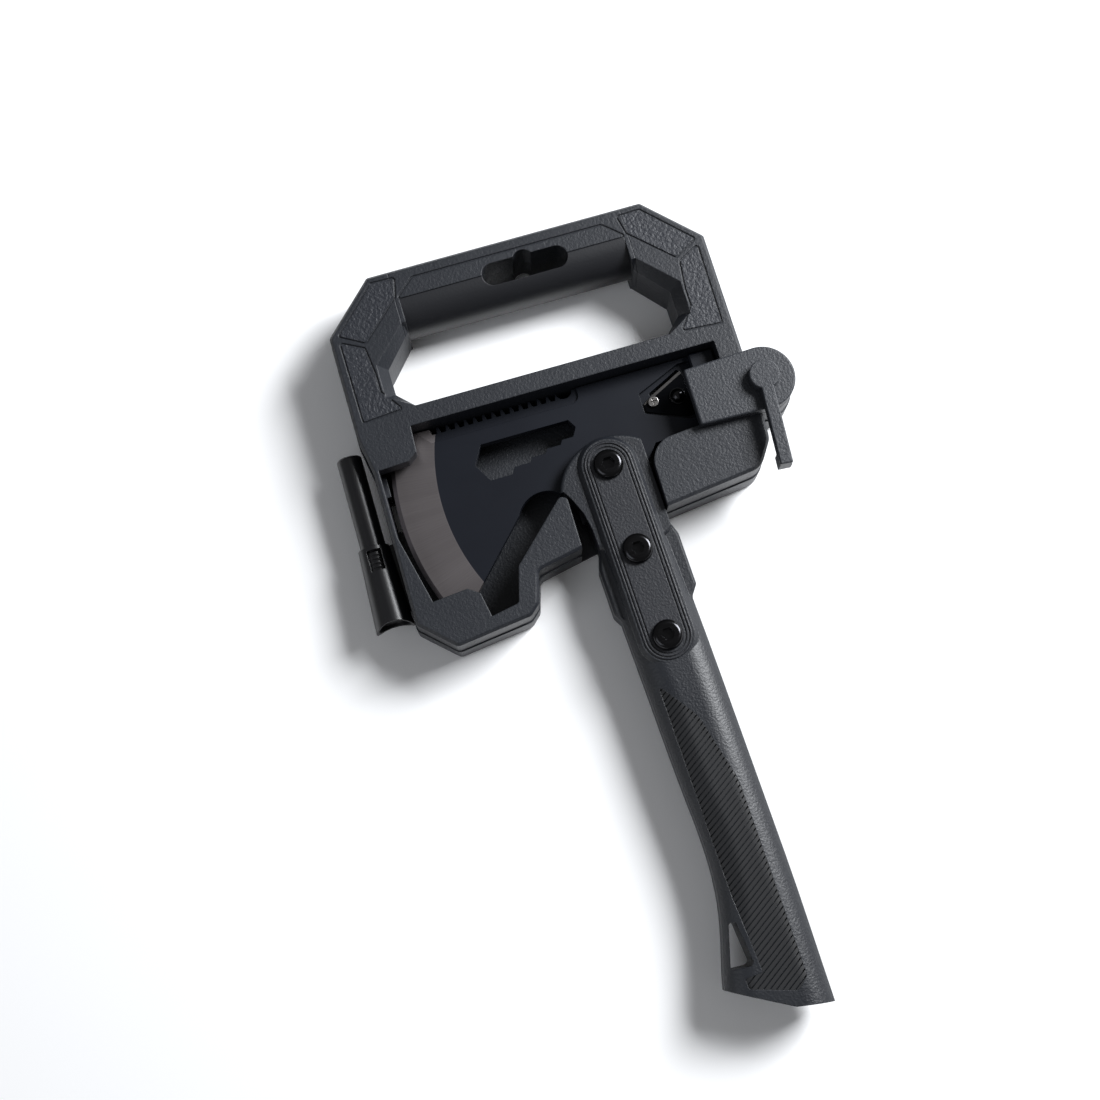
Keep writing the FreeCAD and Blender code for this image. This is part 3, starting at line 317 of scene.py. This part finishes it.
# The cutter's edge, in the head's own millimetres, and the direction from it into the blade
cutter_edge_point = Vector((43.9, 24.4, 0.0)) * MM
cutter_edge_inwards = Vector((0.442, -0.897, 0.0))
cutter_edge_width = 1.2 * MM
cutter_blade_steel = cutter_steel()
ground_steel = plain_metal("ground_steel", "#a9a6a4", 0.3, scratch_mm=0.3)
black_oxide = plain_metal("black_oxide_steel", "#3a3a3c", 0.2, scratch_mm=0.8)
starter_rod = plain_metal("ferrocerium_rod", "#5a5a5c", 0.5, scratch_mm=0.5)
print("metals:", ground_steel.name, black_oxide.name, starter_rod.name)

# %% [markdown]
# ## Dressing the CAD pieces
#
# Each CAD piece keeps its exact mesh and only changes its material slot. The table names
# the finish of every piece in plain sight and of those that show from the back or when
# the latch opens.

# %% Give each CAD piece its finish
finishes = {
    case_abs: ["case_front_shell", "case_back_shell", "grip_bar_front", "grip_bar_back"],
    grip_abs: ["grip_cover"],
    latch_nylon: ["latch_arm", "lock_lever"],
    tube_nylon: ["tube_sleeve", "starter_cap", "release_tab"],
    handle_nylon: ["handle_body"],
    plate_nylon: ["side_plate_front", "side_plate_back"],
    grip_rubber: ["grip_inlay_front", "grip_inlay_back"],
    head_steel: ["axe_head"],
    cutter_blade_steel: ["strap_cutter_blade"],
    ground_steel: ["cutter_screw", "latch_washer", "latch_pivot_pin", "pivot_clip"],
    black_oxide: ["case_screws", "handle_screws", "handle_nuts", "cutter_rivet"],
    starter_rod: ["ferro_rod"],
}
dressed = 0
for finish, names in finishes.items():
    for name in names:
        for slot in frame["nodes"][name].material_slots:
            slot.material = finish
        dressed += 1
print("dressed", dressed, "of", len(frame["nodes"]), "CAD pieces")

# %% [markdown]
# ## Ribs on the grip inlay
#
# The soft inlay is moulded with narrow diagonal ribs, about 2 mm apart, so a wet hand
# does not slip. They could be a bump pattern, but ribs of this size cast real shadows when
# the light is low. Here a copy of the plain CAD inlay is sliced by a row of thin blades: a
# box is added once, repeated with an array, and cut away with a boolean. The ribs that are
# left follow the rounded handle by themselves.

# %% Cut the ribs
rib_pitch = 2.0 * MM
rib_groove = 0.5 * MM
rib_angle = math.radians(34)
blade_depth = 40 * MM       # more than the handle is thick
merge_distance = 0.01 * MM  # joins the CAD mesh's loose triangles and nothing else


def only(thing):
    """Selects one object and makes it active, with everything else left alone."""
    bpy.ops.object.select_all(action="DESELECT")
    thing.select_set(True)
    bpy.context.view_layer.objects.active = thing


def ribbed_copy(node_name, piece_name):
    """Copy of a CAD inlay with diagonal grooves cut through it."""
    low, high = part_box(node_name)
    only(frame["nodes"][node_name])
    bpy.ops.object.duplicate()
    inlay = bpy.context.object
    inlay.name = piece_name
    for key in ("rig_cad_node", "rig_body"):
        del inlay[key]
    inlay.parent = None
    only(inlay)
    bpy.ops.object.mode_set(mode="EDIT")
    bpy.ops.mesh.select_all(action="SELECT")
    bpy.ops.mesh.remove_doubles(threshold=merge_distance)
    bpy.ops.object.mode_set(mode="OBJECT")
    middle = (low + high) / 2
    length = (high - low).length
    count = int(length / rib_pitch) + 2
    across = Vector((-math.sin(rib_angle), math.cos(rib_angle), 0.0))
    first = middle - across * (rib_pitch * (count - 1) / 2)
    bpy.ops.object.select_all(action="DESELECT")
    bpy.ops.mesh.primitive_cube_add(size=1, location=first, rotation=(0, 0, rib_angle),
                                    scale=(length, rib_groove, blade_depth))
    blades = bpy.context.object
    bpy.ops.object.transform_apply(location=True, rotation=True, scale=True)
    row = blades.modifiers.new("row", "ARRAY")
    row.use_relative_offset = False
    row.use_constant_offset = True
    row.constant_offset_displace = across * rib_pitch
    row.count = count
    bpy.ops.object.modifier_apply(modifier="row")
    only(inlay)
    slices = inlay.modifiers.new("slices", "BOOLEAN")
    slices.object = blades
    slices.operation = "DIFFERENCE"
    slices.solver = "EXACT"
    bpy.ops.object.modifier_apply(modifier="slices")
    bpy.data.objects.remove(blades)
    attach(inlay, "hatchet")
    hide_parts(node_name)
    print(piece_name, "has", len(inlay.data.polygons), "faces and", count, "grooves")


ribbed_copy("grip_inlay_front", "ribbed_inlay_front")
ribbed_copy("grip_inlay_back", "ribbed_inlay_back")

# %% [markdown]
# ## Stippled panels at the corners of the D-handle
#
# Inside the engraved lines of the frame the mould has a coarser stipple, so these areas
# look duller than the smooth border round them. They could be painted on by a mask, but
# then the mask would have to repeat the outline of every panel. It is simpler to lift the
# flat faces inside the lines off a copy of the shell, and to give them a thickness of
# less than a tenth of a millimetre. The lines cut the top of the shell into islands, and
# the panels are told from the rest by their size and by where they lie. The smooth normals
# of the CAD copy are cleared, because a flat plate needs none.

# %% Lift the panels off the shell
panel_height = 0.08 * MM
panel_widths = (8 * MM, 40 * MM)
panel_lengths = (15 * MM, 45 * MM)
panels_above = 40 * MM      # all the panels lie further up than this
flat_enough = 0.99
same_height = 0.01 * MM


def panel_skins():
    """Flat islands of the case front that lie inside engraved lines, as thin plates."""
    only(frame["nodes"]["case_front_shell"])
    bpy.ops.object.duplicate()
    skin = bpy.context.object
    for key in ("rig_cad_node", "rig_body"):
        del skin[key]
    skin.parent = None
    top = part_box("case_front_shell")[1].z
    bpy.ops.object.mode_set(mode="EDIT")
    bpy.ops.mesh.select_mode(type="FACE")
    bpy.ops.mesh.select_all(action="SELECT")
    bpy.ops.mesh.remove_doubles(threshold=merge_distance)
    bpy.ops.mesh.select_all(action="DESELECT")
    bpy.ops.object.mode_set(mode="OBJECT")
    for face in skin.data.polygons:
        face.select = face.normal.z < flat_enough or face.center.z < top - same_height
    bpy.ops.object.mode_set(mode="EDIT")
    bpy.ops.mesh.delete(type="FACE")
    bpy.ops.mesh.select_all(action="SELECT")
    bpy.ops.mesh.separate(type="LOOSE")
    bpy.ops.object.mode_set(mode="OBJECT")
    islands = list(bpy.context.selected_objects)
    kept = []
    for island in islands:
        points = [vertex.co for vertex in island.data.vertices]
        low = Vector([min(point[axis] for point in points) for axis in range(3)])
        high = Vector([max(point[axis] for point in points) for axis in range(3)])
        size = high - low
        right_width = panel_widths[0] < size.x < panel_widths[1]
        right_length = panel_lengths[0] < size.y < panel_lengths[1]
        if right_width and right_length and low.y > panels_above:
            kept.append(island)
        else:
            bpy.data.objects.remove(island)
    return kept


for number, panel in enumerate(panel_skins()):
    panel.name = f"stippled_panel_{number + 1}"
    only(panel)
    bpy.ops.object.mode_set(mode="EDIT")
    bpy.ops.mesh.select_all(action="SELECT")
    bpy.ops.mesh.dissolve_limited(angle_limit=math.radians(1))
    bpy.ops.object.mode_set(mode="OBJECT")
    bpy.ops.mesh.customdata_custom_splitnormals_clear()
    bpy.ops.object.shade_flat()
    plate = panel.modifiers.new("plate", "SOLIDIFY")
    plate.thickness = panel_height
    plate.offset = 1.0
    bpy.ops.object.modifier_apply(modifier="plate")
    panel.data.materials.clear()
    panel.data.materials.append(panel_abs)
    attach(panel, "case")
    print(panel.name, "has", len(panel.data.polygons), "faces")

# %% [markdown]
# ## Floor, light and camera
#
# The object lies on its back on a plain pale floor. The main light is a large soft panel
# above and to the upper right, so shadows fall softly to the left. A second, weaker panel
# fills them. The camera looks almost straight down, a little from the lower left.

# %% Floor
floor_size = 8.0
floor_gap = 0.2 * MM        # keeps the floor clear of the case's back
bpy.ops.object.select_all(action="DESELECT")
bpy.ops.mesh.primitive_plane_add(size=floor_size, location=(0, 0, cad_box[0].z - floor_gap))
floor = bpy.context.object
floor.name = "floor"
floor_paint, _, floor_shader, _ = start_material("pale_floor")
floor_shader.inputs["Base Color"].default_value = linear("#ffffff")
floor_shader.inputs["Roughness"].default_value = 0.9
floor.data.materials.append(floor_paint)
print("floor at z =", round(1000 * floor.location.z, 2), "mm")

# %% Light
def soft_panel(name, place, aim, size, power, colour):
    """Square area light that points at one place."""
    lamp = bpy.data.lights.new(name, "AREA")
    lamp.size = size
    lamp.energy = power
    lamp.color = linear(colour)[:3]
    panel = bpy.data.objects.new(name, lamp)
    bpy.context.collection.objects.link(panel)
    panel.location = place
    panel.rotation_mode = "QUATERNION"
    panel.rotation_quaternion = (Vector(aim) - Vector(place)).to_track_quat("-Z", "Y")
    return panel


soft_panel("main_panel", (1.09, 0.38, 0.97), (0, 0, 0), 0.65, 42.0, "#fafcff")
soft_panel("fill_panel", (-1.3, -0.6, 1.2), (0, 0, 0), 1.2, 6.0, "#f4f8ff")
world = bpy.data.worlds.new("studio")
world.use_nodes = True
sky = world.node_tree.nodes["Background"]
sky.inputs["Color"].default_value = (1, 1, 1, 1)
sky.inputs["Strength"].default_value = 0.14
bpy.context.scene.world = world
bpy.context.scene.view_settings.view_transform = "Standard"

# %% Camera
aim = Vector((-19.25, -30.0, 14.0)) * MM
azimuth = math.radians(-16.4)
elevation = math.radians(77.5)
distance = 698.3 * MM
back = Vector((math.sin(azimuth) * math.cos(elevation),
               -math.cos(azimuth) * math.cos(elevation),
               math.sin(elevation)))
sensor_width = 36.0
focal_length = sensor_width * 16 / 11
lens = bpy.data.cameras.new("camera")
lens.sensor_width = sensor_width
lens.lens = focal_length
camera = bpy.data.objects.new("camera", lens)
bpy.context.collection.objects.link(camera)
camera.rotation_mode = "QUATERNION"
camera.location = aim + back * distance
camera.rotation_quaternion = (-back).to_track_quat("-Z", "Y")
bpy.context.scene.camera = camera
print("camera at", [round(1000 * c, 1) for c in camera.location], "mm, lens", round(lens.lens, 2), "mm")
